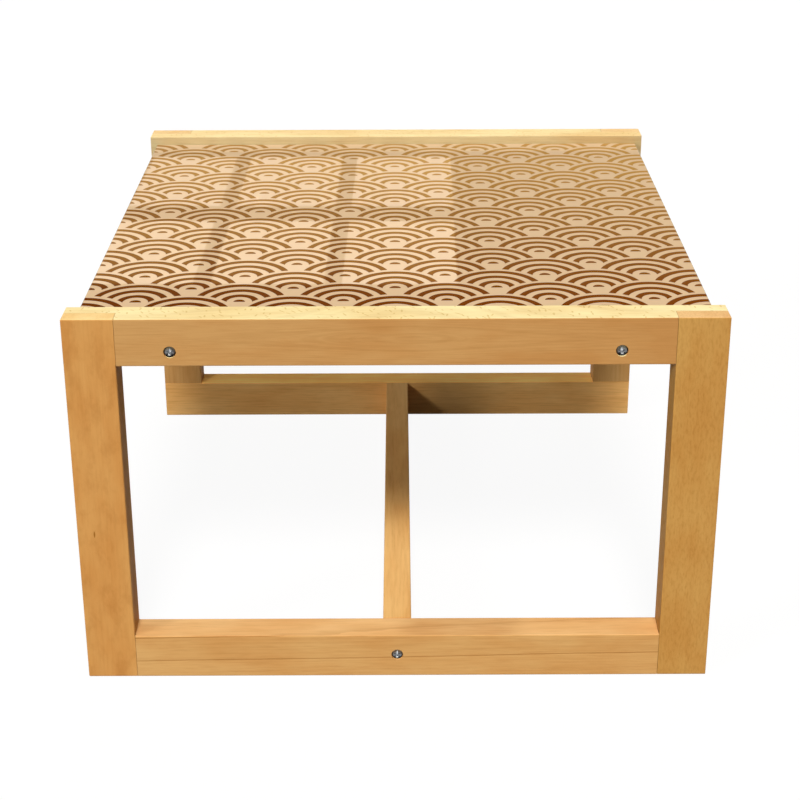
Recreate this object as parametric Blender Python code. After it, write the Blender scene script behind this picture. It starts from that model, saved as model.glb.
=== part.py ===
"""Sled coffee table in beech.

Two half-lapped end frames stand on their floor rails. Two aprons and a floor stretcher hold them
apart, each end on one countersunk screw and two dowels. A printed panel lies on pads on the aprons,
between the top rails.

Metres, +Z up. The origin is on the floor under the table's middle, and the front frame is at -Y.
"""

import math

import bmesh
import bpy

# Whole table
TABLE_WIDTH = 0.610
TABLE_DEPTH = 0.635
TABLE_HEIGHT = 0.381

# Boards of the end frames
BOARD_THICKNESS = 0.032
LEG_WIDTH = 0.048
TOP_RAIL_HEIGHT = 0.0465
FLOOR_RAIL_HEIGHT = 0.046
EASED_EDGE = 0.0010

# Aprons under the panel, flush with the underside of the top rails
APRON_WIDTH = 0.044
APRON_HEIGHT = 0.028
APRON_TO_LEG = 0.028

# Stretcher, flush with the top of the floor rails and just clear of the floor
STRETCHER_WIDTH = 0.028
STRETCHER_LIFT = 0.002

# Printed panel and the pads that bed it
PANEL_SIDE_INSET = 0.008
PANEL_THICKNESS = 0.005
PANEL_ARRIS = 0.0005
PAD_RADIUS = 0.0055
PAD_HEIGHT = 0.003
PAD_CHAMFER = 0.0006
PAD_INSET = 0.060
PADS_PER_APRON = 3

# Countersunk screws with a cross recess
HEAD_RADIUS = 0.0055
HEAD_RIM = 0.0004
HEAD_SINK = 0.0018
SHANK_RADIUS = 0.0026
RECESS_REACH = 0.0030
RECESS_ARM = 0.0013
RECESS_DEPTH = 0.0022
RECESS_TAPER = 0.45
THREAD_RADIUS = 0.0028
THREAD_DEPTH = 0.0009
THREAD_PITCH = 0.0036
THREAD_LENGTH = 0.036
TIP_LENGTH = 0.004
TIP_RADIUS = 0.0004

# Fluted dowels that stop each board turning on its screw
DOWEL_RADIUS = 0.004
DOWEL_LENGTH = 0.030
DOWEL_IN_RAIL = 0.013
DOWEL_CHAMFER = 0.0010
FLUTE_DEPTH = 0.0003
FLUTES = 8

# Clearances
SEAM = 0.0003
HOLE_CLEARANCE = 0.0003
HOLE_END_CLEARANCE = 0.0010
PANEL_CLEARANCE = 0.0005
CUTTER_OVERRUN = 0.010

# Facets
EASED_SEGMENTS = 2
SCREW_SIDES = 24
HOLE_SIDES = 24
PAD_SIDES = 24
ROWS_PER_THREAD = 3
SMOOTH_ANGLE = math.radians(35)

# Sizes that follow from those above
HALF_WIDTH = TABLE_WIDTH / 2
HALF_THICKNESS = BOARD_THICKNESS / 2
WINDOW_HALF_WIDTH = HALF_WIDTH - LEG_WIDTH
WINDOW_TOP = TABLE_HEIGHT - TOP_RAIL_HEIGHT
WINDOW_BOTTOM = FLOOR_RAIL_HEIGHT
BETWEEN_FRAMES = TABLE_DEPTH - 2 * BOARD_THICKNESS
APRON_X = WINDOW_HALF_WIDTH - APRON_TO_LEG - APRON_WIDTH / 2
STRETCHER_HEIGHT = FLOOR_RAIL_HEIGHT - STRETCHER_LIFT
APRON_TOP = WINDOW_TOP + APRON_HEIGHT
PAD_BOTTOM = APRON_TOP + SEAM
PANEL_BOTTOM = PAD_BOTTOM + PAD_HEIGHT + SEAM
HEAD_HEIGHT = HEAD_RADIUS - SHANK_RADIUS
HOLE_RADIUS = max(SHANK_RADIUS, THREAD_RADIUS) + HOLE_CLEARANCE
SCREW_TIP = BOARD_THICKNESS + THREAD_LENGTH + TIP_LENGTH
DOWEL_START = BOARD_THICKNESS - DOWEL_IN_RAIL

# A turned piece points along its own +Z, and this lays it along its frame's +Y, into the table.
INTO_TABLE = (-math.pi / 2, 0, 0)


def clear_scene():
    for obj in list(bpy.data.objects):
        bpy.data.objects.remove(obj, do_unlink=True)


def principled(name, colour, roughness, metallic=0.0):
    material = bpy.data.materials.new(name)
    material.use_nodes = True
    shader = material.node_tree.nodes["Principled BSDF"]
    shader.inputs["Base Color"].default_value = (*colour, 1)
    shader.inputs["Roughness"].default_value = roughness
    shader.inputs["Metallic"].default_value = metallic
    return material


def mesh_from(bm, name):
    bmesh.ops.recalc_face_normals(bm, faces=bm.faces)
    mesh = bpy.data.meshes.new(name)
    bm.to_mesh(mesh)
    bm.free()
    return mesh


def add_object(name, mesh, material=None, parent=None, location=(0, 0, 0), rotation=(0, 0, 0)):
    obj = bpy.data.objects.new(name, mesh)
    bpy.context.scene.collection.objects.link(obj)
    obj.parent = parent
    obj.location = location
    obj.rotation_euler = rotation
    if material:
        obj.data.materials.clear()
        obj.data.materials.append(material)
    return obj


def add_helper(name, mesh, **placing):
    obj = add_object(name, mesh, **placing)
    obj.hide_render = True
    obj.display_type = "WIRE"
    return obj


def add_boolean(obj, other, operation):
    modifier = obj.modifiers.new(f"{operation.lower()}_{other.name}", "BOOLEAN")
    modifier.operation = operation
    modifier.solver = "EXACT"
    modifier.object = other


def smooth(mesh):
    mesh.shade_smooth()
    mesh.set_sharp_from_angle(angle=SMOOTH_ANGLE)


def add_stack(bm, rings):
    """Adds a closed body through rings of points, each ring with as many points as the last."""
    loops = [[bm.verts.new(point) for point in ring] for ring in rings]
    for lower, upper in zip(loops, loops[1:]):
        for i in range(len(lower)):
            j = (i + 1) % len(lower)
            bm.faces.new((lower[i], lower[j], upper[j], upper[i]))
    bm.faces.new(reversed(loops[0]))
    bm.faces.new(loops[-1])


def circle(radius, z, sides, centre=(0, 0)):
    points = []
    for i in range(sides):
        angle = 2 * math.pi * i / sides
        points.append((centre[0] + radius * math.cos(angle), centre[1] + radius * math.sin(angle), z))
    return points


def prism(name, outline, low, high, place):
    """A straight prism between low and high, whose outline points and height place() puts in space."""
    bm = bmesh.new()
    add_stack(bm, [[place(u, v, height) for u, v in outline] for height in (low, high)])
    return mesh_from(bm, name)


def box_mesh(name, size, eased=None, width=0.0, segments=1):
    """A box centred on X and Y, standing on Z = 0. eased(edge) picks the edges that get rounded."""
    bm = bmesh.new()
    bmesh.ops.create_cube(bm, size=1)
    bmesh.ops.translate(bm, verts=bm.verts, vec=(0, 0, 0.5))
    bmesh.ops.scale(bm, verts=bm.verts, vec=size)
    edges = [edge for edge in bm.edges if eased and eased(edge)]
    if edges:
        bmesh.ops.bevel(bm, geom=edges, offset=width, segments=segments, profile=0.5, affect="EDGES")
    return mesh_from(bm, name)


def runs_along(edge, axis):
    span = edge.verts[1].co - edge.verts[0].co
    return abs(span[axis]) > 0.99 * span.length


def frame_blank_mesh():
    """A whole end frame in one piece with its edges eased, as it is once glued up and sanded."""
    outer = [(-HALF_WIDTH, 0), (HALF_WIDTH, 0), (HALF_WIDTH, TABLE_HEIGHT), (-HALF_WIDTH, TABLE_HEIGHT)]
    window = [
        (-WINDOW_HALF_WIDTH, WINDOW_BOTTOM),
        (WINDOW_HALF_WIDTH, WINDOW_BOTTOM),
        (WINDOW_HALF_WIDTH, WINDOW_TOP),
        (-WINDOW_HALF_WIDTH, WINDOW_TOP),
    ]
    bm = bmesh.new()
    rings = []
    for outline, y in ((outer, -1), (outer, 1), (window, 1), (window, -1)):
        rings.append([bm.verts.new((x, y * HALF_THICKNESS, z)) for x, z in outline])
    for near, far in zip(rings, rings[1:] + rings[:1]):
        for i in range(4):
            j = (i + 1) % 4
            bm.faces.new((near[i], near[j], far[j], far[i]))
    mitres = set()
    for near, far in ((rings[1], rings[2]), (rings[3], rings[0])):
        mitres.update(frozenset(pair) for pair in zip(near, far))
    window_corners = {frozenset(pair) for pair in zip(rings[2], rings[3])}
    kept_sharp = mitres | window_corners
    edges = [edge for edge in bm.edges if frozenset(edge.verts) not in kept_sharp]
    bmesh.ops.bevel(
        bm, geom=edges, offset=EASED_EDGE, segments=EASED_SEGMENTS, profile=0.5, affect="EDGES"
    )
    return mesh_from(bm, "frame_blank")


def leg_envelope(side):
    """A leg's share of the frame: full height in the outer half, between the rails in the inner half."""
    outer = -HALF_THICKNESS - CUTTER_OVERRUN
    inner = HALF_THICKNESS + CUTTER_OVERRUN
    cheek = -SEAM / 2
    low_shoulder = WINDOW_BOTTOM + SEAM
    high_shoulder = WINDOW_TOP - SEAM
    below = -CUTTER_OVERRUN
    above = TABLE_HEIGHT + CUTTER_OVERRUN
    outline = [
        (outer, below),
        (cheek, below),
        (cheek, low_shoulder),
        (inner, low_shoulder),
        (inner, high_shoulder),
        (cheek, high_shoulder),
        (cheek, above),
        (outer, above),
    ]
    ends = sorted((side * WINDOW_HALF_WIDTH, side * (HALF_WIDTH + CUTTER_OVERRUN)))
    return prism("leg", outline, *ends, lambda y, z, x: (x, y, z))


def rail_envelope(low, high):
    """A rail's share of the frame: full width in the inner half, between the legs in the outer half."""
    outer = -HALF_THICKNESS - CUTTER_OVERRUN
    inner = HALF_THICKNESS + CUTTER_OVERRUN
    cheek = SEAM / 2
    end = HALF_WIDTH + CUTTER_OVERRUN
    shoulder = WINDOW_HALF_WIDTH - SEAM
    outline = [
        (-end, inner),
        (-end, cheek),
        (-shoulder, cheek),
        (-shoulder, outer),
        (shoulder, outer),
        (shoulder, cheek),
        (end, cheek),
        (end, inner),
    ]
    return prism("rail", outline, low, high, lambda x, y, z: (x, y, z))


def recess_outline(scale, z):
    """A cross with four equal arms, as points round its edge."""
    reach, arm = RECESS_REACH * scale, RECESS_ARM * scale / 2
    quarter = [(reach, -arm), (reach, arm), (arm, arm)]
    points = []
    for turn in range(4):
        for x, y in quarter:
            for _ in range(turn):
                x, y = -y, x
            points.append((x, y, z))
    return points


def thread_ring(z, rise):
    """Points round the thread at depth z. rise goes from 0 at the root to 1 at full height."""
    points = []
    for i in range(SCREW_SIDES):
        phase = (z / THREAD_PITCH - i / SCREW_SIDES) % 1
        ridge = 1 - abs(2 * phase - 1)
        radius = THREAD_RADIUS - THREAD_DEPTH * (1 - ridge * rise)
        angle = 2 * math.pi * i / SCREW_SIDES
        points.append((radius * math.cos(angle), radius * math.sin(angle), z))
    return points


def screw_mesh():
    """A screw along +Z whose Z = 0 is the board's outer face."""
    neck = HEAD_SINK + HEAD_RIM + HEAD_HEIGHT
    rings = [
        circle(HEAD_RADIUS, HEAD_SINK, SCREW_SIDES),
        circle(HEAD_RADIUS, HEAD_SINK + HEAD_RIM, SCREW_SIDES),
        circle(SHANK_RADIUS, neck, SCREW_SIDES),
        circle(SHANK_RADIUS, BOARD_THICKNESS, SCREW_SIDES),
    ]
    rows = max(2, round(ROWS_PER_THREAD * THREAD_LENGTH / THREAD_PITCH))
    for row in range(1, rows + 1):
        rise = min(1, row / ROWS_PER_THREAD, (rows - row) / ROWS_PER_THREAD)
        rings.append(thread_ring(BOARD_THICKNESS + THREAD_LENGTH * row / rows, rise))
    rings.append(circle(TIP_RADIUS, SCREW_TIP, SCREW_SIDES))
    bm = bmesh.new()
    add_stack(bm, rings)
    blank = add_helper("screw_blank", mesh_from(bm, "screw_blank"))

    bm = bmesh.new()
    slope = (1 - RECESS_TAPER) / RECESS_DEPTH
    above = RECESS_DEPTH
    add_stack(
        bm,
        [
            recess_outline(1 + slope * above, HEAD_SINK - above),
            recess_outline(RECESS_TAPER, HEAD_SINK + RECESS_DEPTH),
        ],
    )
    recess = add_helper("screw_recess", mesh_from(bm, "screw_recess"))
    add_boolean(blank, recess, "DIFFERENCE")
    bpy.context.view_layer.update()
    graph = bpy.context.evaluated_depsgraph_get()
    mesh = bpy.data.meshes.new_from_object(blank.evaluated_get(graph))
    mesh.name = "screw"
    smooth(mesh)
    for helper in (blank, recess):
        bpy.data.objects.remove(helper, do_unlink=True)
    return mesh


def dowel_mesh():
    """A dowel along +Z, fluted and chamfered at both ends."""
    rings = []
    for inset, z in (
        (DOWEL_CHAMFER, 0),
        (0, DOWEL_CHAMFER),
        (0, DOWEL_LENGTH - DOWEL_CHAMFER),
        (DOWEL_CHAMFER, DOWEL_LENGTH),
    ):
        ring = circle(DOWEL_RADIUS - inset, z, 2 * FLUTES)
        groove = circle(DOWEL_RADIUS - inset - FLUTE_DEPTH, z, 2 * FLUTES)
        rings.append([pair[i % 2] for i, pair in enumerate(zip(ring, groove))])
    bm = bmesh.new()
    add_stack(bm, rings)
    return mesh_from(bm, "dowel")


def pad_mesh():
    bm = bmesh.new()
    add_stack(
        bm,
        [
            circle(PAD_RADIUS, 0, PAD_SIDES),
            circle(PAD_RADIUS, PAD_HEIGHT - PAD_CHAMFER, PAD_SIDES),
            circle(PAD_RADIUS - PAD_CHAMFER, PAD_HEIGHT, PAD_SIDES),
        ],
    )
    mesh = mesh_from(bm, "pad")
    smooth(mesh)
    return mesh


def holes_mesh(dowel_places):
    """The holes of one joint, through the rail and into the board behind it."""
    rim = HEAD_RADIUS + HOLE_CLEARANCE
    seat = HEAD_SINK + HEAD_RIM
    neck = seat + rim - HOLE_RADIUS
    bm = bmesh.new()
    add_stack(
        bm,
        [
            circle(rim, -CUTTER_OVERRUN, HOLE_SIDES),
            circle(rim, seat, HOLE_SIDES),
            circle(HOLE_RADIUS, neck, HOLE_SIDES),
            circle(HOLE_RADIUS, SCREW_TIP + HOLE_END_CLEARANCE, HOLE_SIDES),
        ],
    )
    for place in dowel_places:
        start = DOWEL_START - HOLE_END_CLEARANCE
        end = DOWEL_START + DOWEL_LENGTH + HOLE_END_CLEARANCE
        ends = [circle(DOWEL_RADIUS + HOLE_CLEARANCE, z, HOLE_SIDES, place) for z in (start, end)]
        add_stack(bm, ends)
    return mesh_from(bm, "joint_holes")


def joint_table():
    """The three joints of the front frame: name, X, Z, and where the dowels stand beside the screw."""
    aside = (APRON_WIDTH / 2 + HOLE_RADIUS) / 2
    apart = (STRETCHER_HEIGHT / 2 + HOLE_RADIUS) / 2
    apron_z = WINDOW_TOP + APRON_HEIGHT / 2
    stretcher_z = STRETCHER_LIFT + STRETCHER_HEIGHT / 2
    beside = {"left": (-aside, 0), "right": (aside, 0)}
    stacked = {"upper": (0, -apart), "lower": (0, apart)}
    return [
        ("left_apron", -APRON_X, apron_z, beside),
        ("right_apron", APRON_X, apron_z, beside),
        ("stretcher", 0, stretcher_z, stacked),
    ]


def add_end_frame(name, facing, materials, meshes):
    """One end frame with its screws and dowels. facing is 1 at the front, and -1 turns it to the back."""
    frame = bpy.data.objects.new(f"{name}_frame", None)
    bpy.context.scene.collection.objects.link(frame)
    frame.location = (0, -facing * (TABLE_DEPTH - BOARD_THICKNESS) / 2, 0)
    frame.rotation_euler = (0, 0, 0 if facing == 1 else math.pi)
    blank = add_helper(f"{name}_frame_blank", meshes["blank"], parent=frame)

    boards = {
        "left_leg": leg_envelope(-facing),
        "right_leg": leg_envelope(facing),
        "top_rail": rail_envelope(WINDOW_TOP, TABLE_HEIGHT + CUTTER_OVERRUN),
        "floor_rail": rail_envelope(-CUTTER_OVERRUN, WINDOW_BOTTOM),
    }
    made = {}
    for part, mesh in boards.items():
        made[part] = add_object(f"{name}_{part}", mesh, materials["beech"], parent=frame)
        add_boolean(made[part], blank, "INTERSECT")

    cutters = {}
    for joint, x, z, dowels in joint_table():
        at = (facing * x, -HALF_THICKNESS, z)
        placing = {"parent": frame, "location": at, "rotation": INTO_TABLE}
        holes = add_helper(f"{name}_{joint}_holes", holes_mesh(dowels.values()), **placing)
        rail = made["floor_rail" if joint == "stretcher" else "top_rail"]
        add_boolean(rail, holes, "DIFFERENCE")
        cutters[joint] = holes
        add_object(f"{name}_{joint}_screw", meshes["screw"], materials["zinc"], **placing)
        for side, (across, down) in dowels.items():
            placing["location"] = (at[0] + facing * across, at[1] + DOWEL_START, at[2] - down)
            add_object(f"{name}_{joint}_{side}_dowel", meshes["dowel"], materials["dowel"], **placing)
    return cutters


def add_long_boards(materials, cutters):
    """The aprons and the stretcher, each bored at both ends."""
    length = BETWEEN_FRAMES - 2 * SEAM
    sizes = {
        "left_apron": (-APRON_X, WINDOW_TOP, APRON_WIDTH, APRON_HEIGHT),
        "right_apron": (APRON_X, WINDOW_TOP, APRON_WIDTH, APRON_HEIGHT),
        "stretcher": (0, STRETCHER_LIFT, STRETCHER_WIDTH, STRETCHER_HEIGHT),
    }
    for name, (x, z, width, height) in sizes.items():
        mesh = box_mesh(
            name, (width, length, height), lambda edge: runs_along(edge, 1), EASED_EDGE, EASED_SEGMENTS
        )
        board = add_object(name, mesh, materials["beech"], location=(x, 0, z))
        for frame_cutters in cutters:
            add_boolean(board, frame_cutters[name], "DIFFERENCE")


def add_panel(materials):
    width = TABLE_WIDTH - 2 * PANEL_SIDE_INSET
    length = BETWEEN_FRAMES - 2 * PANEL_CLEARANCE
    mesh = box_mesh("panel", (width, length, PANEL_THICKNESS), lambda edge: True, PANEL_ARRIS)
    add_object("top_panel", mesh, materials["panel"], location=(0, 0, PANEL_BOTTOM))


def add_pads(materials, mesh):
    """A row of clear pads along each apron, from end to end."""
    reach = BETWEEN_FRAMES / 2 - PAD_INSET
    for side, name in ((-1, "left"), (1, "right")):
        for i in range(PADS_PER_APRON):
            y = -reach + 2 * reach * i / max(1, PADS_PER_APRON - 1)
            place = (side * APRON_X, y, PAD_BOTTOM)
            add_object(f"{name}_panel_pad_{i + 1}", mesh, materials["pad"], location=place)


def main():
    clear_scene()
    materials = {
        "beech": principled("beech", (0.60, 0.33, 0.11), 0.45),
        "dowel": principled("dowel_beech", (0.62, 0.42, 0.22), 0.7),
        "zinc": principled("zinc_steel", (0.60, 0.62, 0.64), 0.3, 1.0),
        "panel": principled("printed_panel", (0.62, 0.38, 0.18), 0.08),
        "pad": principled("clear_silicone", (0.85, 0.87, 0.87), 0.3),
    }
    meshes = {"blank": frame_blank_mesh(), "screw": screw_mesh(), "dowel": dowel_mesh()}
    cutters = [add_end_frame("front", 1, materials, meshes), add_end_frame("back", -1, materials, meshes)]
    add_long_boards(materials, cutters)
    add_panel(materials)
    add_pads(materials, pad_mesh())


main()
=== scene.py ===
"""Looks of the sled coffee table: its materials, the studio around it and the camera.

Lengths are in metres. The table's front faces -Y, its right is +X, and it stands on the floor at Z = 0.
"""
import math
from dataclasses import dataclass

import bpy
from mathutils import Matrix, Vector


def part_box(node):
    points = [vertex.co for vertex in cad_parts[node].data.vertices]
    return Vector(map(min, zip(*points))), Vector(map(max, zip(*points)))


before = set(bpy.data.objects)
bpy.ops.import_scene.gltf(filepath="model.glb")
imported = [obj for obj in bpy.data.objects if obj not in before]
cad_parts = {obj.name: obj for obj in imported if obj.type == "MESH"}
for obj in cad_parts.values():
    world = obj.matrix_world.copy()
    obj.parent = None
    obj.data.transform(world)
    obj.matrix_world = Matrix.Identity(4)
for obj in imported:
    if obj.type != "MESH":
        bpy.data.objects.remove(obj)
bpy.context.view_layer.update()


def srgb(red, green, blue):
    """Linear colour of an sRGB triple from 0 to 255, as Blender's sockets want it."""
    def linear(channel):
        level = channel / 255
        return level / 12.92 if level <= 0.04045 else ((level + 0.055) / 1.055) ** 2.4
    return (linear(red), linear(green), linear(blue), 1.0)


def grey(level):
    """Linear grey of one level."""
    return (level, level, level, 1.0)


WHITE = grey(1.0)

# Camera: the image and its optics in pixels, then the place and turn found by fitting the table's edges
IMAGE_SIZE = 800
FOCAL_PIXELS = 1678.62
OPTICAL_CENTRE = (400.5, 300.5)
SENSOR_WIDTH = 36.0
CAMERA_PLACE = Vector((0.00336, -1.72892, 0.95252))
CAMERA_PITCH = math.radians(-21.426)
CAMERA_YAW = math.radians(-0.040)
CAMERA_ROLL = math.radians(-0.190)

# How squarely a surface faces a side where it starts to count as part of it, and where it fully does
FACE = (0.6, 0.9)
END_FACE = (0.6, 0.8)
UNDERSIDE = (-0.7, -0.3)

# Beech: two body colours, then what multiplies them on each feature
BEECH_PALE = srgb(219, 168, 100)
BEECH_DEEP = srgb(210, 153, 85)
BEECH_LINE = (0.66, 0.54, 0.40, 1.0)
BEECH_FLECK = (0.85, 0.77, 0.63, 1.0)
BEECH_MARK = (0.50, 0.40, 0.22, 1.0)
BEECH_STAIN = (0.84, 0.80, 0.76, 1.0)
BEECH_END = (1.0, 0.90, 0.85, 1.0)

# Tints of single boards, partly each board's own tone and partly painted light: lighter for the boards in
# the table's shade, darker for those in front. Then painted highlights on their tops, and painted light on
# one front, which multiply the beech's colour as well
PLAIN = (0.79, 0.80, 0.90, 1.0)
ORANGE = (0.88, 0.825, 0.785, 1.0)
YELLOW = (0.78, 0.785, 0.68, 1.0)
HONEY = (0.91, 0.96, 1.11, 1.0)
STRAW = (1.12, 1.21, 1.40, 1.0)
HAY = (1.19, 1.28, 1.45, 1.0)
# Painted light on the front of the back top rail
FRONT_PAINTED_LIGHT = (0.88, 1.21, 1.75, 1.0)
# Painted highlights on tops, paler where light falls on them
TOP_RAIL_PAINTED_HIGHLIGHT = (1.69, 2.65, 4.05, 1.0)
LEFT_END_PAINTED_HIGHLIGHT = (1.50, 2.40, 3.9, 1.0)
RIGHT_END_PAINTED_HIGHLIGHT = (1.50, 1.94, 3.4, 1.0)
BACK_END_PAINTED_HIGHLIGHT = (1.40, 1.95, 2.80, 1.0)
WARM_TOP_PAINTED_HIGHLIGHT = (1.26, 1.33, 1.56, 1.0)
BRIGHT_TOP_PAINTED_HIGHLIGHT = (1.54, 1.63, 1.37, 1.0)
BACK_EDGE_PAINTED_HIGHLIGHT = (1.46, 2.03, 2.88, 1.0)

# Noises in the wood: cells to the metre along and across the grain, detail, roughness.
# The fibre has no first number, because its length is the board's own.
WANDER = (5.0, 12.0)
RIPPLE = (30.0, 90.0)
MOTTLE = (11.0, 30.0, 3.0)
BLOTCH = (42.0, 75.0, 4.0, 0.62)
FIBRE = (430.0, 4.0, 0.66)
NOISE_MIDDLE = 0.5

# Levels of a noise where its feature starts to show, and where it shows fully
MOTTLE_RANGE = (0.3, 0.7)
BLOTCH_RANGE = (0.42, 0.72)
FIBRE_RANGE = (0.40, 0.75)
GROWTH_RANGE = (0.44, 0.66)

# Growth rings: how far apart two boards are cut from the same wood, how much the trunk's curve, the slow
# wander and the ripple bend the rings, and then their fine streaks
SEED_STEP = 3.7
RING_CURVE = 3.5
WANDER_DEPTH = 0.0018
RIPPLE_DEPTH = 0.0012
GROWTH_ACROSS = 430.0
GROWTH_ALONG = 2.5
GROWTH_ROUGHNESS = 0.55
GROWTH_STRENGTH = 0.26

# Dark growth lines: their pitch, where in it they start and are full, the faint shade that leads up to
# them, and how much of them top faces lose
LINE_PITCH = -0.0263
LINE_RANGE = (0.955, 0.99)
LINE_SHADE = 0.1
LINE_TOP_LOSS = 0.65

# Nested ovals on a board's front: their size, how fast one ring follows on the last, where they level off
# along the board, how much of the plain rings is left in them, and their own wander
EYE_SIZE = Vector((0.1, 0.01))
EYE_DEPTH = 0.01
EYE_LIMIT = 2.0
EYE_RADIAL = 0.3
EYE_WANDER = 0.004

# Ray flecks: spacing and size along and across the board, how they lean, the least length, the share of
# places without one, and how their edges fade
FLECK_SPACING = Vector((0.0060, 0.0085))
FLECK_SIZE = Vector((0.0009, 0.0024))
FLECK_UPRIGHT = 0.25
FLECK_LEAN = 1.8
FLECK_SHORTEST = 0.5
FLECK_EMPTY = 0.55
FLECK_FADE = (1.3, 0.4)

# A dark mark on a leg, and the ends of a stained stretch
MARK_SIZE = Vector((0.0009, 0.0040))
MARK_FADE = (1.2, 0.1)
STAIN_FADE = (1.0, 0.5)

# The oiled surface of the boards
BEECH_SHEEN_RANGE = (0.3, 0.8)
BEECH_ROUGHNESS = (0.46, 0.58)
BEECH_GLOSS = 0.012
BEECH_BUMP = 0.00025
FIBRE_RELIEF = 0.7
LINE_RELIEF = 0.5

# Wave print: scales of concentric arcs in rows, each row covered by the one nearer the front
SCALE_WIDTH = 0.0985
SCALE_HEIGHT = 0.0511
ROW_SPACING = 0.03347
FIRST_ROW = 0.0035
PRINT_SHIFT = -0.0012
PRINT_SLANT_ACROSS = 0.0022
PRINT_SLANT_BACK = -0.0079
ARC_EDGES = 7
ARC_START = 0.113
ARC_WIDTH = 0.1325
PRINT_CREAM = srgb(218, 188, 151)
PRINT_BROWN_FRONT = srgb(112, 54, 9)
PRINT_BROWN_BACK = srgb(192, 147, 77)
PRINT_TINT_LEFT = (0.83, 0.78, 0.82, 1.0)
PRINT_TINT_RIGHT = (1.13, 1.18, 1.25, 1.0)
PRINT_FADE = 1.3
PRINT_FADE_END = 0.82

# The printed panel's other faces and its gloss
PANEL_EDGE = srgb(150, 172, 150)
PANEL_UNDERSIDE = srgb(214, 206, 192)
PANEL_HAZE = 30.0
PANEL_HAZE_RANGE = (0.3, 0.8)
PANEL_ROUGHNESS = (0.025, 0.045)
PANEL_GLOSS = 0.10

# Clouds in the small parts' surfaces: detail, and the levels over which their roughness changes
CLOUD_DETAIL = 3.0
CLOUD_RANGE = (0.2, 0.8)

# Screws: painted shade round the rim, from a share of the head's radius, and a painted glint down in the
# recess, by its depth, then the head's dish and grain
ZINC_DULL = srgb(112, 115, 118)
ZINC_BRIGHT = srgb(158, 161, 164)
ZINC_RIM_SHADE = srgb(44, 45, 44)
ZINC_RECESS_GLINT = srgb(232, 234, 236)
ZINC_CLOUD = 700.0
ZINC_ROUGHNESS = (0.24, 0.38)
SCREW_RIM_SHADE = (0.74, 0.95)
SCREW_RECESS_GLINT = (0.0008, 0.0016)
SCREW_DISH = 0.0034
SCREW_GRAIN = 0.05

# Dowels: raw beech
DOWEL_PALE = srgb(222, 190, 146)
DOWEL_DEEP = srgb(196, 156, 108)
DOWEL_ALONG = 60.0
DOWEL_ACROSS = 1500.0
DOWEL_FIBRE = (4.0, 0.6)
DOWEL_RANGE = (0.3, 0.7)
DOWEL_ROUGHNESS = (0.62, 0.80)
DOWEL_BUMP = 0.0002

# Panel pads: cloudy silicone
SILICONE_CLEAR = srgb(232, 236, 236)
SILICONE_MILKY = srgb(214, 220, 220)
SILICONE_CLOUD = 400.0
SILICONE_ROUGHNESS = (0.22, 0.38)
SILICONE_TRANSMISSION = 0.6
SILICONE_IOR = 1.41

# Studio: the floor, the even light of the sky, and the grey ceiling that only shiny things show. It starts
# and is full at these heights over the horizon, as the sine of the angle.
FLOOR_REACH = 30.0
FLOOR_HEIGHT = -0.0004
FLOOR_BOUNCE = 0.10
FLOOR_GLOW = 0.93
FLOOR_SHADE = 0.07
SKY_LEVEL = 0.128
CEILING_GREY = 0.03
CEILING_START = math.sin(math.radians(11.0))
CEILING_FULL = math.sin(math.radians(14.0))

# Window: the panes of its light on the panel, and their mirror image in the panel's gloss
PANE_COLUMNS = ((-0.296, -0.1955), (-0.178, -0.0677), (-0.050, 0.0628))
PANE_ROWS = ((-0.204, -0.013), (0.0385, 0.2286))
PANE_TURN = Matrix.Rotation(math.radians(-0.8), 4, "Z")
PANE_LEVEL = 0.42
PANE_LIGHT = (0.38, 0.52, 1.0)
PANE_LIFT = 0.03
PANE_SPREAD = math.radians(0.5)
PANE_IMAGE_LEVELS = (1.05, 0.72)
PANE_IMAGE_LIGHT = (1.0, 0.64, 0.14)
PANE_IMAGE_LIFT = 0.6


@dataclass
class Board:
    """How one board was cut and what its wood looks like."""
    node: str
    grain: str                   # axis along which its fibres run
    radial_turn: float           # turn of the growth rings about that axis, in degrees
    # tint: its own tone and partly painted light; then painted highlight on its tops and painted light on
    # its front
    tint: tuple
    top_painted_highlight: tuple = WHITE
    front_painted_light: tuple = WHITE
    figure: float = 0.5          # strength of the growth rings
    fibre: float = 0.30          # strength of the fibre's streaks
    fibre_length: float = 0.036  # length of those streaks
    blotch: float = 0.0          # strength of the blotches on its front
    line_phase: float = 0.0      # where the dark growth lines lie, in pitches
    line_depth: float = 0.1      # strength of the dark growth lines
    lean: float = 0.012          # slope of the growth rings along the board
    # painted shade: the front is painted darker towards the right, for less light falling there
    front_painted_shade: float = 0.0         # how much deeper its front is for each metre to the right
    flecks: float = 0.0          # strength of the ray flecks on its top
    eye: tuple = ()              # X and Z of the middle of nested ovals
    stain: tuple = ()            # middle and half length of a stained stretch of its top
    mark: tuple = ()             # X and Z of a dark mark on its front


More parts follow.
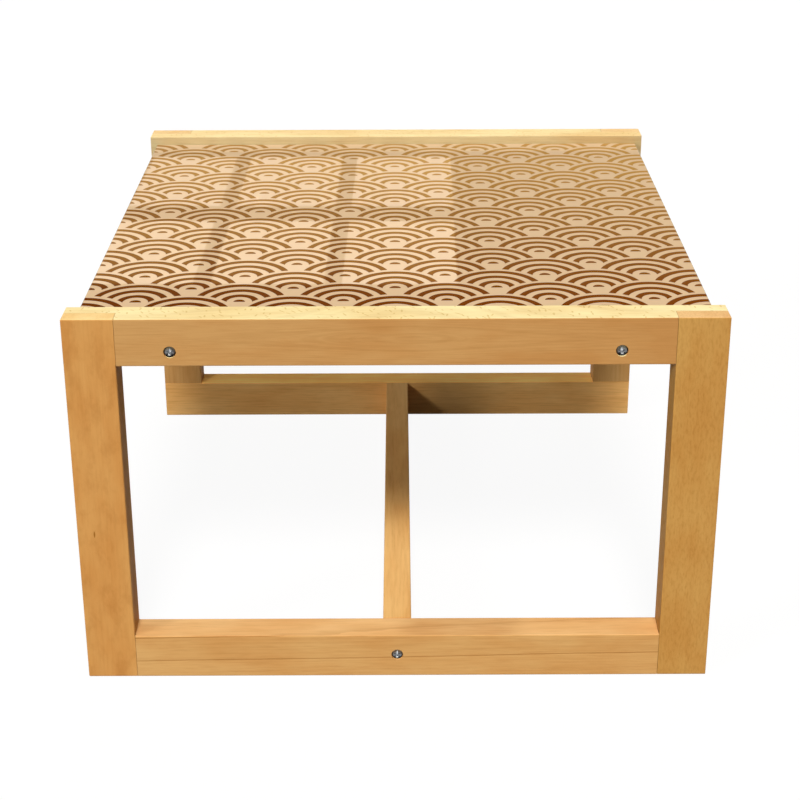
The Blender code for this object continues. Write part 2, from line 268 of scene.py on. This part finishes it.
BOARDS = (
    Board(
        "front_left_leg", "Z", 80.0, ORANGE, LEFT_END_PAINTED_HIGHLIGHT, figure=0.2, fibre=0.15,
        blotch=0.34, line_depth=0.05, mark=(-0.2887, 0.1595),
    ),
    Board(
        "front_right_leg", "Z", 25.0, YELLOW, RIGHT_END_PAINTED_HIGHLIGHT, figure=0.25, fibre=0.42,
        fibre_length=0.007, line_depth=0.05,
    ),
    Board(
        "front_top_rail", "X", 58.0, PLAIN, TOP_RAIL_PAINTED_HIGHLIGHT, figure=0.65, fibre=0.24,
        line_depth=0.08, front_painted_shade=3.0, flecks=1.0, eye=(0.013, 0.3625),
    ),
    Board(
        "front_floor_rail", "X", 77.0, HONEY, WARM_TOP_PAINTED_HIGHLIGHT, figure=0.4, fibre=0.26,
        line_phase=0.83, line_depth=0.8, lean=-0.0166, stain=(0.064, 0.075),
    ),
    Board("back_left_leg", "Z", 30.0, HONEY, BACK_END_PAINTED_HIGHLIGHT),
    Board("back_right_leg", "Z", 70.0, HONEY, BACK_END_PAINTED_HIGHLIGHT),
    Board("back_top_rail", "X", 50.0, HONEY, BACK_EDGE_PAINTED_HIGHLIGHT, FRONT_PAINTED_LIGHT, flecks=0.6),
    Board("back_floor_rail", "X", 60.0, HAY, BRIGHT_TOP_PAINTED_HIGHLIGHT, figure=0.6, fibre=0.42),
    Board("left_apron", "Y", 15.0, PLAIN),
    Board("right_apron", "Y", 75.0, YELLOW),
    Board("stretcher", "Y", 60.0, STRAW),
)
SCREWS = tuple(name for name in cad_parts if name.endswith("_screw"))


@dataclass
class Sun:
    """A soft far lamp, its angles in degrees. Azimuth 0 shines from the front, and 90 from the right.

    Its level is its irradiance over pi, so 1 straight on renders a colour as it is written.
    """
    name: str
    azimuth: float
    elevation: float
    width: float
    level: float
    lights: tuple = ()           # the only nodes that it lights
    spares: tuple = ()           # nodes that it doesn't light
    shadows: tuple = ()          # the only nodes that throw its shadows
    glint: bool = False          # shows in shiny things and lights nothing else


SUN_COLOUR = (1.0, 0.97, 0.92)
SUNS = (
    Sun("key", 0.0, 47.9, 13.5, 1.06),
    Sun("behind", 180.0, 8.0, 15.0, 0.40),
    Sun("left_fill", -52.0, 21.5, 15.0, 0.44, spares=("back_floor_rail",)),
    Sun(
        "rail_fill", -31.0, 25.0, 7.0, 0.335,
        lights=("back_floor_rail",), shadows=("stretcher", "front_left_leg", "back_left_leg"),
    ),
    Sun("right_fill", 90.0, 5.0, 2.0, 0.35, spares=("stretcher",)),
    Sun("sparkle", 0.0, 38.0, 30.0, 0.60, lights=SCREWS, glint=True),
)


class Field:
    """A value that varies over a surface. Arithmetic on it adds math nodes to its tree."""

    def __init__(self, tree, socket):
        self.tree = tree
        self.socket = socket

    def __add__(self, other):
        return self.tree.math("ADD", self, other)

    def __radd__(self, other):
        return self.tree.math("ADD", other, self)

    def __sub__(self, other):
        return self.tree.math("SUBTRACT", self, other)

    def __rsub__(self, other):
        return self.tree.math("SUBTRACT", other, self)

    def __mul__(self, other):
        return self.tree.math("MULTIPLY", self, other)

    def __rmul__(self, other):
        return self.tree.math("MULTIPLY", other, self)

    def __truediv__(self, other):
        return self.tree.math("DIVIDE", self, other)

    def __pow__(self, other):
        return self.tree.math("POWER", self, other)

    def __mod__(self, other):
        return self.tree.math("FLOORED_MODULO", self, other)

    def __neg__(self):
        return self.tree.math("SUBTRACT", 0.0, self)

    def __abs__(self):
        return self.tree.math("ABSOLUTE", self)

    def floor(self):
        return self.tree.math("FLOOR", self)

    def above(self, limit):
        """1 where the value is over the limit, else 0."""
        return self.tree.math("GREATER_THAN", self, limit)

    def ramp(self, start, end, low=0.0, high=1.0):
        """Eases from low at start to high at end."""
        inputs = {"Value": self, "From Min": start, "From Max": end, "To Min": low, "To Max": high}
        return self.tree.add("MapRange", inputs, interpolation_type="SMOOTHSTEP")


class Tree:
    """A node tree, with short calls for the nodes used here."""

    def __init__(self, node_tree):
        self.nodes = node_tree.nodes
        self.links = node_tree.links

    def put(self, socket, value):
        """Links a field to the socket, or sets a plain value on it."""
        if isinstance(value, Field):
            self.links.new(value.socket, socket)
        else:
            socket.default_value = value

    def add(self, kind, inputs, output=0, **settings):
        """Adds a node and returns one of its outputs as a field."""
        node = self.nodes.new("ShaderNode" + kind)
        for name, value in settings.items():
            setattr(node, name, value)
        for key, value in inputs.items():
            self.put(node.inputs[key], value)
        return Field(self, node.outputs[output])

    def math(self, operation, *values):
        return self.add("Math", dict(enumerate(values)), operation=operation)

    def vector(self, x, y, z):
        return self.add("CombineXYZ", {0: x, 1: y, 2: z})

    def parts(self, vector):
        """The three numbers of a vector field."""
        node = self.nodes.new("ShaderNodeSeparateXYZ")
        self.put(node.inputs[0], vector)
        return [Field(self, output) for output in node.outputs]

    def position(self):
        """Where the point is in the table's own frame."""
        return self.parts(self.add("TexCoord", {}, "Object"))

    def normal(self):
        """Which way the surface faces, in the same frame."""
        return self.parts(self.add("TexCoord", {}, "Normal"))

    def noise(self, vector, detail=2.0, roughness=0.5):
        inputs = {"Vector": vector, "Scale": 1.0, "Detail": detail, "Roughness": roughness}
        return self.add("TexNoise", inputs)

    def cloud(self, scale):
        """An even noise of so many cells to the metre."""
        x, y, z = self.position()
        return self.noise(self.vector(x * scale, y * scale, z * scale), CLOUD_DETAIL)

    def mix(self, factor, first, second, blend="MIX"):
        """Blends two colours. The three inputs are the colour version's own sockets."""
        return self.add("Mix", {0: factor, 6: first, 7: second}, 2, data_type="RGBA", blend_type=blend)

    def show(self, kind, surface):
        """Adds the output node and gives it the surface's shader."""
        self.put(self.nodes.new("ShaderNode" + kind).inputs["Surface"], surface)


class Material(Tree):
    """A material with Blender's general shader for surfaces."""

    def __init__(self, name):
        self.material = bpy.data.materials.new(name)
        self.material.use_nodes = True
        super().__init__(self.material.node_tree)
        self.shader = self.nodes["Principled BSDF"]

    def bump(self, height, distance):
        inputs = {"Height": height, "Distance": distance, "Strength": 1.0}
        self.put(self.shader.inputs["Normal"], self.add("Bump", inputs))

    def finish(self, **inputs):
        """Sets the shader's own inputs, named with underscores for spaces."""
        for name, value in inputs.items():
            self.put(self.shader.inputs[name.replace("_", " ")], value)
        return self.material


class Cut:
    """Where a point lies in its board: along and across the grain, in the trunk, and on which face."""

    def __init__(self, board, seed):
        self.tree = Material(board.node + "_beech")
        self.place = dict(zip("XYZ", self.tree.position()))
        self.facing = dict(zip("XYZ", self.tree.normal()))
        first, second = [axis for axis in "XYZ" if axis != board.grain]
        low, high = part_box(board.node)
        middle = dict(zip("XYZ", (low + high) / 2))
        turn = math.radians(board.radial_turn)
        self.along = self.place[board.grain]
        self.one = self.place[first] - middle[first]
        self.two = self.place[second] - middle[second]
        self.radial = self.one * math.cos(turn) + self.two * math.sin(turn)
        self.tangent = self.two * math.cos(turn) - self.one * math.sin(turn)
        self.shift = self.along + SEED_STEP * seed
        self.upward = self.facing["Z"].ramp(*FACE)
        self.forward = (-self.facing["Y"]).ramp(*FACE)
        self.end_grain = abs(self.facing[board.grain]).ramp(*END_FACE)

    def noise(self, along, across, detail=2.0, roughness=0.5):
        """A noise drawn out along the grain, of so many cells to the metre along and across it."""
        vector = self.tree.vector(self.shift * along, self.one * across, self.two * across)
        return self.tree.noise(vector, detail, roughness)


def growth_ring(cut, board):
    """How far out in the trunk a point grew: curved rings, or nested ovals round the board's eye."""
    wander = cut.noise(*WANDER) - NOISE_MIDDLE
    ripple = cut.noise(*RIPPLE) - NOISE_MIDDLE
    if board.eye:
        beside = ((cut.along - board.eye[0]) / EYE_SIZE.x) ** 2.0
        over = ((cut.place["Z"] - board.eye[1]) / EYE_SIZE.y) ** 2.0
        oval = beside * EYE_LIMIT / (beside + 1.0) + over
        ring = cut.radial * EYE_RADIAL + oval * EYE_DEPTH + wander * EYE_WANDER
    else:
        ring = cut.radial + cut.tangent ** 2.0 * RING_CURVE + cut.along * board.lean
    return ring + wander * WANDER_DEPTH + ripple * RIPPLE_DEPTH


def growth_line(cut, board, ring):
    """Strength of the dark line at the end of each wide growth ring, fainter on top faces."""
    line = (ring / LINE_PITCH + board.line_phase) % 1.0
    dark = line.ramp(*LINE_RANGE) + line * LINE_SHADE
    return dark * (1.0 - cut.upward * LINE_TOP_LOSS) * board.line_depth


def ray_flecks(cut):
    """1 on the short dark marks where the wood's rays meet its top, each leaning its own way, else 0."""
    tree = cut.tree
    u = cut.shift / FLECK_SPACING.x
    v = cut.place["Y"] / FLECK_SPACING.y
    inputs = {"Vector": tree.vector(u, v, 0.0), "Scale": 1.0}
    cell = tree.add("TexVoronoi", inputs, "Position", voronoi_dimensions="2D")
    centre = tree.parts(cell)
    luck = tree.parts(Field(tree, cell.socket.node.outputs["Color"]))
    off_along = (u - centre[0]) * FLECK_SPACING.x
    off_across = (v - centre[1]) * FLECK_SPACING.y
    leaned = off_along + off_across * (luck[0] - FLECK_UPRIGHT) * FLECK_LEAN
    length = FLECK_SIZE.y * (FLECK_SHORTEST + luck[1])
    spread = (leaned / FLECK_SIZE.x) ** 2.0 + (off_across / length) ** 2.0
    return spread.ramp(*FLECK_FADE) * luck[2].above(FLECK_EMPTY) * abs(cut.facing["Z"]).ramp(*FACE)


def stained(cut, board):
    """1 on the stained stretch of a board's top, fading out at its ends."""
    reach = abs(cut.along - board.stain[0]) / board.stain[1]
    return reach.ramp(*STAIN_FADE) * cut.upward


def marked(cut, board):
    """1 on the small dark mark on a board's front, else 0."""
    aside = (cut.place["X"] - board.mark[0]) / MARK_SIZE.x
    above = (cut.place["Z"] - board.mark[1]) / MARK_SIZE.y
    return (aside ** 2.0 + above ** 2.0).ramp(*MARK_FADE) * cut.forward


def board_material(board, seed):
    """Oiled beech: rings, flecks and fibre in one solid pattern, so that each face is cut from it."""
    cut = Cut(board, seed)
    tree = cut.tree
    ring = growth_ring(cut, board)
    line = growth_line(cut, board, ring)
    streaks = tree.vector(ring * GROWTH_ACROSS, cut.shift * GROWTH_ALONG, 0.0)
    growth = tree.noise(streaks, roughness=GROWTH_ROUGHNESS)
    fibre = cut.noise(1 / board.fibre_length, *FIBRE)
    mottle = cut.noise(*MOTTLE)
    blotch = cut.noise(*BLOTCH)

    layers = [
        # the board's tint, its own tone and partly painted light
        (1.0, board.tint),
        (fibre.ramp(*FIBRE_RANGE) * board.fibre, BEECH_LINE),
        (growth.ramp(*GROWTH_RANGE) * (board.figure * GROWTH_STRENGTH), BEECH_LINE),
        (line, BEECH_LINE),
        (blotch.ramp(*BLOTCH_RANGE) * cut.forward * board.blotch, BEECH_LINE),
        # painted highlights on top faces and painted light on fronts, for how light falls on them
        (cut.upward, board.top_painted_highlight),
        (cut.forward, board.front_painted_light),
        (cut.end_grain, BEECH_END),
    ]
    if board.stain:
        layers.append((stained(cut, board), BEECH_STAIN))
    if board.flecks:
        layers.append((ray_flecks(cut) * board.flecks, BEECH_FLECK))
    if board.mark:
        layers.append((marked(cut, board), BEECH_MARK))
    # mottle, plus painted shade that darkens fronts towards the right
    deep_tone_and_painted_shade = mottle.ramp(*MOTTLE_RANGE) + cut.along * cut.forward * board.front_painted_shade
    colour = tree.mix(deep_tone_and_painted_shade, BEECH_PALE, BEECH_DEEP)
    for strength, tint in layers:
        colour = tree.mix(strength, colour, tint, "MULTIPLY")

    tree.bump(fibre * FIBRE_RELIEF - line * LINE_RELIEF, BEECH_BUMP)
    roughness = fibre.ramp(*BEECH_SHEEN_RANGE, *BEECH_ROUGHNESS)
    return tree.finish(Base_Color=colour, Roughness=roughness, Specular_IOR_Level=BEECH_GLOSS)


def scale_radius(across, backward, row):
    """Distance from the nearest scale centre in a row, where 1 is the scale's edge."""
    half_width = SCALE_WIDTH / 2
    column = (across / half_width - row % 2.0 + 1.0) % 2.0 - 1.0
    lift = (backward - row * ROW_SPACING) / SCALE_HEIGHT
    return (column ** 2.0 + lift ** 2.0) ** 0.5


def wave_arcs(x, y, front):
    """1 on the arcs of the wave print and 0 between them, in rows counted from the panel's front edge."""
    across = x - PRINT_SHIFT + y * PRINT_SLANT_ACROSS
    backward = y - (front + FIRST_ROW) + x * PRINT_SLANT_BACK
    row = (backward / ROW_SPACING).floor()
    nearer = scale_radius(across, backward, row - 1.0)
    own = scale_radius(across, backward, row)
    inside_nearer = 1.0 - nearer.above(1.0)
    radius = nearer * inside_nearer + own * (1.0 - inside_nearer)
    edges = [radius.above(ARC_START + ARC_WIDTH * edge) for edge in range(ARC_EDGES)]
    arcs = 1.0 - edges[0]
    for inner, outer in zip(edges[1::2], edges[2::2]):
        arcs = arcs + inner - outer
    return arcs


def panel_material():
    """A printed sheet under a clear gloss: brown arcs on cream, the brown paler to the back and right."""
    tree = Material("printed_panel")
    x, y = tree.position()[:2]
    facing_up = tree.normal()[2]
    low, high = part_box("top_panel")
    depth = (y - low.y) / (high.y - low.y)
    side = (x - low.x) / (high.x - low.x)
    faded = tree.math("MINIMUM", depth, PRINT_FADE_END) ** PRINT_FADE
    ink = tree.mix(faded, PRINT_BROWN_FRONT, PRINT_BROWN_BACK)
    ink = tree.mix(1.0, ink, tree.mix(side, PRINT_TINT_LEFT, PRINT_TINT_RIGHT), "MULTIPLY")
    picture = tree.mix(wave_arcs(x, y, low.y), PRINT_CREAM, ink)
    sides = tree.mix(facing_up.ramp(*UNDERSIDE), PANEL_UNDERSIDE, PANEL_EDGE)
    colour = tree.mix(facing_up.ramp(*FACE), sides, picture)
    roughness = tree.cloud(PANEL_HAZE).ramp(*PANEL_HAZE_RANGE, *PANEL_ROUGHNESS)
    return tree.finish(Base_Color=colour, Roughness=roughness, Specular_IOR_Level=PANEL_GLOSS)


def zinc_material(node):
    """Dulled zinc plate on a screw, slightly dished, with painted shade round the rim and a painted glint
    down in the recess.
    """
    tree = Material(node + "_zinc")
    x, y, z = tree.position()
    low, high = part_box(node)
    middle = (low + high) / 2
    reach = ((x - middle.x) ** 2.0 + (z - middle.z) ** 2.0) ** 0.5 / ((high.x - low.x) / 2)
    depth = max(abs(low.y), abs(high.y)) - abs(y)
    cloud = tree.cloud(ZINC_CLOUD)
    colour = tree.mix(cloud, ZINC_DULL, ZINC_BRIGHT)
    # painted shade round the rim, and a painted glint in the recess
    colour = tree.mix(reach.ramp(*SCREW_RIM_SHADE), colour, ZINC_RIM_SHADE)
    colour = tree.mix(depth.ramp(*SCREW_RECESS_GLINT), colour, ZINC_RECESS_GLINT)
    tree.bump(reach ** 2.0 + cloud * SCREW_GRAIN, SCREW_DISH)
    roughness = cloud.ramp(*CLOUD_RANGE, *ZINC_ROUGHNESS)
    return tree.finish(Base_Color=colour, Metallic=1.0, Roughness=roughness)


def dowel_material():
    """Raw beech with its pores open."""
    tree = Material("dowel_beech")
    x, y, z = tree.position()
    fibre = tree.noise(tree.vector(x * DOWEL_ACROSS, y * DOWEL_ALONG, z * DOWEL_ACROSS), *DOWEL_FIBRE)
    colour = tree.mix(fibre.ramp(*DOWEL_RANGE), DOWEL_PALE, DOWEL_DEEP)
    tree.bump(fibre, DOWEL_BUMP)
    return tree.finish(Base_Color=colour, Roughness=fibre.ramp(*CLOUD_RANGE, *DOWEL_ROUGHNESS))


def silicone_material():
    """Clear soft pads, slightly cloudy."""
    tree = Material("clear_silicone")
    cloud = tree.cloud(SILICONE_CLOUD)
    return tree.finish(
        Base_Color=tree.mix(cloud, SILICONE_CLEAR, SILICONE_MILKY),
        Roughness=cloud.ramp(*CLOUD_RANGE, *SILICONE_ROUGHNESS),
        Transmission_Weight=SILICONE_TRANSMISSION,
        IOR=SILICONE_IOR,
    )


def paint(node, material):
    """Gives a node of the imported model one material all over."""
    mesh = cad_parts[node].data
    mesh.materials.clear()
    mesh.materials.append(material)


def paint_table():
    """Gives every node of the table its material."""
    for seed, board in enumerate(BOARDS):
        paint(board.node, board_material(board, seed))
    paint("top_panel", panel_material())
    dowel = dowel_material()
    silicone = silicone_material()
    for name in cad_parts:
        if name.endswith("_dowel"):
            paint(name, dowel)
        elif "_panel_pad_" in name:
            paint(name, silicone)
    for name in SCREWS:
        paint(name, zinc_material(name))


def seen_directly(tree):
    """1 for rays from the camera and for those that mirror or pass on its view, else 0."""
    seen = tree.add("LightPath", {}, "Is Camera Ray")
    for name in ("Is Glossy Ray", "Is Transmission Ray"):
        seen = tree.math("MAXIMUM", seen, tree.add("LightPath", {}, name))
    return seen


def floor_material():
    """White but for the table's soft shadow, dim where it only sends light back, and clear from below."""
    material = bpy.data.materials.new("pale_floor")
    material.use_nodes = True
    material.node_tree.nodes.clear()
    tree = Tree(material.node_tree)
    bounce = tree.add("BsdfDiffuse", {"Color": grey(FLOOR_BOUNCE)})
    shade = tree.add("BsdfDiffuse", {"Color": grey(FLOOR_SHADE)})
    glow = tree.add("Emission", {"Strength": FLOOR_GLOW})
    white = tree.add("AddShader", {0: shade, 1: glow})
    above = tree.add("MixShader", {0: seen_directly(tree), 1: bounce, 2: white})
    from_below = tree.add("NewGeometry", {}, "Backfacing")
    clear = tree.add("BsdfTransparent", {})
    tree.show("OutputMaterial", tree.add("MixShader", {0: from_below, 1: above, 2: clear}))
    return material


def add_floor():
    """A wide plain floor, a hair below the table's own underside."""
    sides = ((-1, -1), (1, -1), (1, 1), (-1, 1))
    corners = [(x * FLOOR_REACH, y * FLOOR_REACH, FLOOR_HEIGHT) for x, y in sides]
    mesh = bpy.data.meshes.new("floor")
    mesh.from_pydata(corners, [], [(0, 1, 2, 3)])
    floor = bpy.data.objects.new("floor", mesh)
    bpy.context.scene.collection.objects.link(floor)
    mesh.materials.append(floor_material())


def add_world():
    """White to the camera, with a grey ceiling in what shines, and an even dim light from all sides."""
    world = bpy.data.worlds.new("studio")
    bpy.context.scene.world = world
    world.use_nodes = True
    world.node_tree.nodes.clear()
    tree = Tree(world.node_tree)
    fill = tree.add("Background", {"Color": WHITE, "Strength": SKY_LEVEL})
    height = tree.parts(tree.add("TexCoord", {}, "Generated"))[2]
    inputs = {"Value": height, "From Min": CEILING_START, "From Max": CEILING_FULL}
    inputs.update({"To Min": 1.0, "To Max": CEILING_GREY})
    mirrored = tree.add("MapRange", inputs)
    strength = tree.math("MAXIMUM", mirrored, tree.add("LightPath", {}, "Is Camera Ray"))
    view = tree.add("Background", {"Color": WHITE, "Strength": strength})
    tree.show("OutputWorld", tree.add("MixShader", {0: seen_directly(tree), 1: fill, 2: view}))


def node_set(name, members, state="INCLUDE"):
    """A set of nodes for a lamp to keep to, or with EXCLUDE to leave out."""
    chosen = bpy.data.collections.new(name)
    for member in members:
        chosen.objects.link(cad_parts[member])
    for entry in chosen.collection_objects:
        entry.light_linking.link_state = state
    return chosen


def add_sun(sun):
    """Adds a far lamp, which shows in shiny things only if it is there for their glint."""
    lamp = bpy.data.lights.new(sun.name, "SUN")
    lamp.angle = math.radians(sun.width)
    lamp.energy = sun.level * math.pi
    lamp.color = SUN_COLOUR
    azimuth = math.radians(sun.azimuth)
    elevation = math.radians(sun.elevation)
    flat = Vector((math.sin(azimuth), -math.cos(azimuth), 0.0))
    towards = flat * math.cos(elevation) + Vector((0.0, 0.0, math.sin(elevation)))
    item = bpy.data.objects.new(sun.name, lamp)
    item.rotation_mode = "QUATERNION"
    item.rotation_quaternion = towards.to_track_quat("Z", "Y")
    item.visible_diffuse = not sun.glint
    item.visible_glossy = sun.glint
    if sun.lights:
        item.light_linking.receiver_collection = node_set(sun.name + "_lights", sun.lights)
    if sun.spares:
        item.light_linking.receiver_collection = node_set(sun.name + "_spares", sun.spares, "EXCLUDE")
    if sun.shadows:
        item.light_linking.blocker_collection = node_set(sun.name + "_shadows", sun.shadows)
    bpy.context.scene.collection.objects.link(item)


def add_panel_lamp(name, place, size, level, colour):
    """A lamp over the panel that faces down, turned as the window is, and that the camera doesn't see."""
    lamp = bpy.data.lights.new(name, "AREA")
    lamp.shape = "RECTANGLE"
    lamp.size = size.x
    lamp.size_y = size.y
    lamp.energy = level * math.pi * size.x * size.y
    lamp.color = colour
    item = bpy.data.objects.new(name, lamp)
    item.matrix_world = Matrix.Translation(place) @ PANE_TURN
    item.visible_camera = False
    bpy.context.scene.collection.objects.link(item)
    return item


def add_pane(name, centre, size):
    """A lamp that shines straight down, so that its light keeps the shape of one pane on the panel."""
    place = centre + Vector((0.0, 0.0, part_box("top_panel")[1].z + PANE_LIFT))
    item = add_panel_lamp(name, place, size, PANE_LEVEL, PANE_LIGHT)
    item.data.spread = PANE_SPREAD
    item.visible_glossy = False


def add_pane_image(name, centre, size, level):
    """A lamp that only the panel mirrors, where its image fills one pane from the photograph's angle."""
    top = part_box("top_panel")[1].z
    grow = 1 + PANE_IMAGE_LIFT / (CAMERA_PLACE.z - top)
    viewer = Vector((CAMERA_PLACE.x, CAMERA_PLACE.y, 0.0))
    place = viewer + (centre - viewer) * grow + Vector((0.0, 0.0, top + PANE_IMAGE_LIFT))
    item = add_panel_lamp(name, place, size * grow, level, PANE_IMAGE_LIGHT)
    item.visible_diffuse = False
    item.visible_transmission = False
    item.light_linking.receiver_collection = node_set(name + "_lights", ["top_panel"])


def add_window():
    """A window's light on the panel: each of its panes lies on the print and is mirrored in the gloss."""
    for column, (left, right) in enumerate(PANE_COLUMNS):
        for row, (near, far) in enumerate(PANE_ROWS):
            centre = PANE_TURN @ Vector(((left + right) / 2, (near + far) / 2, 0.0))
            size = Vector((right - left, far - near))
            add_pane(f"pane_{column}_{row}", centre, size)
            add_pane_image(f"pane_image_{column}_{row}", centre, size, PANE_IMAGE_LEVELS[row])


def add_camera():
    """The camera at the photograph's viewing angle, with a shift for its framing."""
    data = bpy.data.cameras.new("camera")
    data.sensor_width = SENSOR_WIDTH
    data.lens = FOCAL_PIXELS / IMAGE_SIZE * SENSOR_WIDTH
    data.shift_x = 0.5 - OPTICAL_CENTRE[0] / IMAGE_SIZE
    data.shift_y = OPTICAL_CENTRE[1] / IMAGE_SIZE - 0.5
    camera = bpy.data.objects.new("camera", data)
    turn = Matrix.Rotation(CAMERA_YAW, 4, "Z")
    turn = turn @ Matrix.Rotation(math.pi / 2 + CAMERA_PITCH, 4, "X")
    turn = turn @ Matrix.Rotation(CAMERA_ROLL, 4, "Z")
    camera.matrix_world = Matrix.Translation(CAMERA_PLACE) @ turn
    bpy.context.scene.collection.objects.link(camera)
    bpy.context.scene.camera = camera


def main():
    bpy.context.scene.view_settings.view_transform = "Standard"
    paint_table()
    add_floor()
    add_world()
    for sun in SUNS:
        add_sun(sun)
    add_window()
    add_camera()


main()
